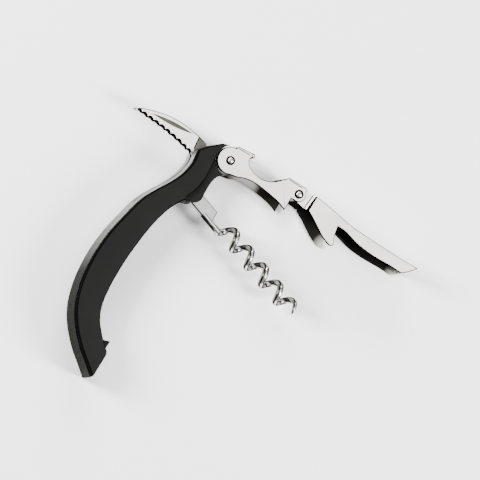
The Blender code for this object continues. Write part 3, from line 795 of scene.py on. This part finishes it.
def wire(name, spots):
    """Round wire along a path of places and thicknesses."""
    rings = []
    for i, (spot, thin) in enumerate(spots):
        heading = (spots[min(i + 1, len(spots) - 1)][0] - spots[max(i - 1, 0)][0]).normalized()
        side = heading.cross(Vector((0.0, 0.0, 1.0))).normalized()
        rise = side.cross(heading)
        ring = []
        for k in range(WIRE_SIDES):
            angle = 2.0 * math.pi * (k + 0.5) / WIRE_SIDES
            reach = side * math.cos(angle) + rise * math.sin(angle)
            ring.append(tuple(spot + reach * WIRE_R * thin))
        rings.append(ring)
    return stack(name, rings)


def worm(coil_surface, tab_surface, edge_shade_surface):
    """Flat tab and, in a piece of its own, the wire that grows out of it."""
    start, along, across = worm_frame()

    def spot(travel, sideways):
        here = start + along * travel + across * sideways
        return here.x, here.y

    heading = math.degrees(WORM_ANGLE)
    hub = arc(WORM_PIVOT, TAB_R, heading + TAB_HUB[0], heading + TAB_HUB[1], TAB_HUB[2])
    upper = [(TAB_HEEL, TAB_UPPER), (TAB_LENGTH, TAB_UPPER)]
    lower = [(TAB_STEP[-1][0], TAB_LOWER), (TAB_HEEL, TAB_LOWER)]
    outline = hub + [spot(*place) for place in reversed(upper + TAB_STEP + lower)]
    # the tab's rims carry painted shade
    tab = sheet_body("worm_tab", outline, TAB_HALF, SHEET_RIM, tab_surface, edge_shade_surface)
    drill(tab, WORM_PIVOT, PIN_HOLE_R)
    dress(tab, "worm_body", soft_angle=SHEET_ANGLE)
    coil = wire("worm_coil", worm_path())
    coil.data.materials.append(coil_surface)
    dress(coil, "worm_body", ["worm"])


def scalloped(depth):
    """Serrated edge of the blade, from its tip to its heel."""
    edge = []
    for first, second in zip(BLADE_TEETH, BLADE_TEETH[1:]):
        a, b = Vector(first), Vector(second)
        inward = Vector((-(b - a).y, (b - a).x)).normalized()
        for k in range(TOOTH_STEPS):
            t = k / TOOTH_STEPS
            edge.append(tuple(a.lerp(b, t) + inward * 4.0 * t * (1.0 - t) * depth))
    return edge + [BLADE_TEETH[-1]]


def nick():
    """Outline of the nail nick, pointed at both ends."""
    first, last = Vector(NICK_ENDS[0]), Vector(NICK_ENDS[1])
    out = Vector((-(last - first).y, (last - first).x)).normalized()
    spots = []
    for side, steps in ((1.0, range(NICK_STEPS + 1)), (-1.0, range(NICK_STEPS - 1, 0, -1))):
        for t in steps:
            reach = side * NICK_HALF * math.sin(math.pi * t / NICK_STEPS)
            spots.append(tuple(first.lerp(last, t / NICK_STEPS) + out * reach))
    return spots


def knife(surface, nick_shade_surface, heel_surface, edge_shade_surface):
    """Serrated blade with its nail nick, thick heel, ground edge and dark back; the nick, the
    ground edge, the heel's edge line and the back line are painted with shade.
    """
    edge = scalloped(TOOTH_DEPTH)
    outline = arc(KNIFE_PIVOT, BLADE_HUB_R, *BLADE_HUB) + smooth(BLADE_BACK, 6) + edge
    made = prism("blade", outline, -BLADE_HALF, BLADE_HALF, surface)
    # painted shade in the nail nick
    for side in (-1, 1):
        low, high = sorted((side * NICK_FLOOR, side * BLADE_CLEAR))
        boolean(made, prism("nick", nick(), low, high, nick_shade_surface))
    drill(made, KNIFE_PIVOT, PIN_HOLE_R)
    first, last = Vector(BLADE_TEETH[0]), Vector(BLADE_TEETH[-1])
    inward = Vector(((first - last).y, -(first - last).x)).normalized()
    strip = [tuple(Vector(p) + inward * GRIND_WIDTH) for p in scalloped(GRIND_SCALLOP)]
    strip += [tuple(Vector(p) - inward) for p in reversed(edge)]
    spine = smooth(BLADE_BACK, 6)[BACK_START:]
    back = offset(spine, BLADE_RIM) + list(reversed(offset(spine, -BACK_CLEAR)))
    # painted shade strips along the heel's edge, the ground edge and the back
    for side in (-1, 1):
        low, high = sorted((side * (BLADE_HALF - GRIND_DEPTH), side * BLADE_CLEAR))
        boolean(made, prism("heel", RICASSO, low, high, heel_surface))
        boolean(made, prism("heel_line", RICASSO_LINE, low, high, edge_shade_surface))
        boolean(made, prism("grind", strip, low, high, edge_shade_surface))
        boolean(made, prism("back_line", back, low, high, edge_shade_surface))
    # painted shade on the rims
    rimmed(made, edge_shade_surface, tallest=3.0)
    dress(made, "knife", ["knife_blade"], SHEET_ANGLE)


def floor():
    """Plain pale paper just under the tool."""
    bpy.ops.mesh.primitive_plane_add(size=FLOOR_SIZE, location=(0.0, 0.0, -FLOOR_DROP))
    made = bpy.context.object
    made.name = "floor"
    surface, nodes, links, shader = wired("floor_paper")
    grain = noise(nodes, links, 400.0, (1.0, 1.0, 1.0), 3.0)
    links.new(tinted(nodes, links, grain, *PAPER), shader.inputs['Base Color'])
    shader.inputs['Roughness'].default_value = 0.8
    made.data.materials.append(surface)


def lamp(name, place, size, power):
    """Rectangular lamp that looks at the middle of the tool."""
    data = bpy.data.lights.new(name, 'AREA')
    data.shape = 'RECTANGLE'
    data.size, data.size_y = size
    data.energy = power
    made = bpy.data.objects.new(name, data)
    made.location = place
    made.rotation_euler = (-Vector(place)).to_track_quat('-Z', 'Y').to_euler()
    bpy.context.scene.collection.objects.link(made)


def studio():
    """Lamps of the table, and an even white surround."""
    for look in LAMPS:
        lamp(*look)
    world = bpy.data.worlds.new("studio")
    bpy.context.scene.world = world
    world.use_nodes = True
    surround = world.node_tree.nodes["Background"]
    surround.inputs["Color"].default_value = (1.0, 1.0, 1.0, 1.0)
    surround.inputs["Strength"].default_value = WORLD_STRENGTH


def camera():
    """Nearly overhead, leaning to the left and a little to the bottom."""
    back = Vector((-math.tan(LEAN_LEFT), -math.tan(LEAN_DOWN), 1.0)).normalized()
    right = Vector((math.cos(LEAN_LEFT), 0.0, math.sin(LEAN_LEFT)))
    up = back.cross(right).normalized()
    right = up.cross(back)
    data = bpy.data.cameras.new("view")
    data.sensor_width = SENSOR
    data.lens = SENSOR * CAMERA_REACH / FRAME_WIDTH
    made = bpy.data.objects.new("view", data)
    made.location = Vector(CAMERA_AIM) + back * CAMERA_REACH
    turn = made.rotation_euler.to_matrix()
    turn.col[0], turn.col[1], turn.col[2] = right, up, back
    made.rotation_euler = turn.to_euler()
    data.clip_end = CAMERA_RANGE
    bpy.context.scene.collection.objects.link(made)
    bpy.context.scene.camera = made


def build():
    """Materials, visible pieces, dressed CAD pieces and the studio."""
    black = plastic("black_plastic", *BLACK)
    # painted shade for the grip plates' rims and crease
    rim = plastic("black_shaded_rim", *BLACK_SHADED_RIM)
    steels = {name: steel(name + "_steel", *look) for name, look in STEELS.items()}
    # painted shade on the channel
    shade_channel(steels["channel"])
    # painted reflections and shade on the coil
    banded(steels["coil"])
    # painted light patches inside the levers
    light_patches(steels["inner"])
    for name, tint in EDGE_TINTS.items():
        shader = steels[name].node_tree.nodes["Principled BSDF"]
        shader.inputs['Specular Tint'].default_value = (tint, tint, tint, 1.0)
    lever, inner, dark, head = (steels[name] for name in ("lever", "inner", "dark", "rivet"))

    handle_frame(steels["channel"], steels["pin"])
    handle_scale("scale_near", "scale_front", 1, black, rim)
    handle_scale("scale_far", "scale_rear", -1, black, rim)
    first_lever(lever, inner, dark, steels["band"])
    second_lever(lever, inner, dark, steels["step"])
    worm(steels["coil"], steels["tab"], dark)
    knife(steels["blade"], steels["nick"], steels["heel"], dark)
    rivet("rivet_main", "main_rivet", MAIN, "lever_hub", head, dark)
    rivet("rivet_link", "link_rivet", LINK, "first_lever", head, dark)
    for node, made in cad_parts.items():
        if made.hide_render:
            continue
        surface, slot = steels["pin"], "pin_steel"
        if "catch" in node:
            surface, slot = black, "plastic"
        elif "washer" in node:
            surface, slot = head, "rivet_steel"
        made.data.materials.clear()
        made.data.materials.append(surface)
    floor()
    studio()
    camera()


build()
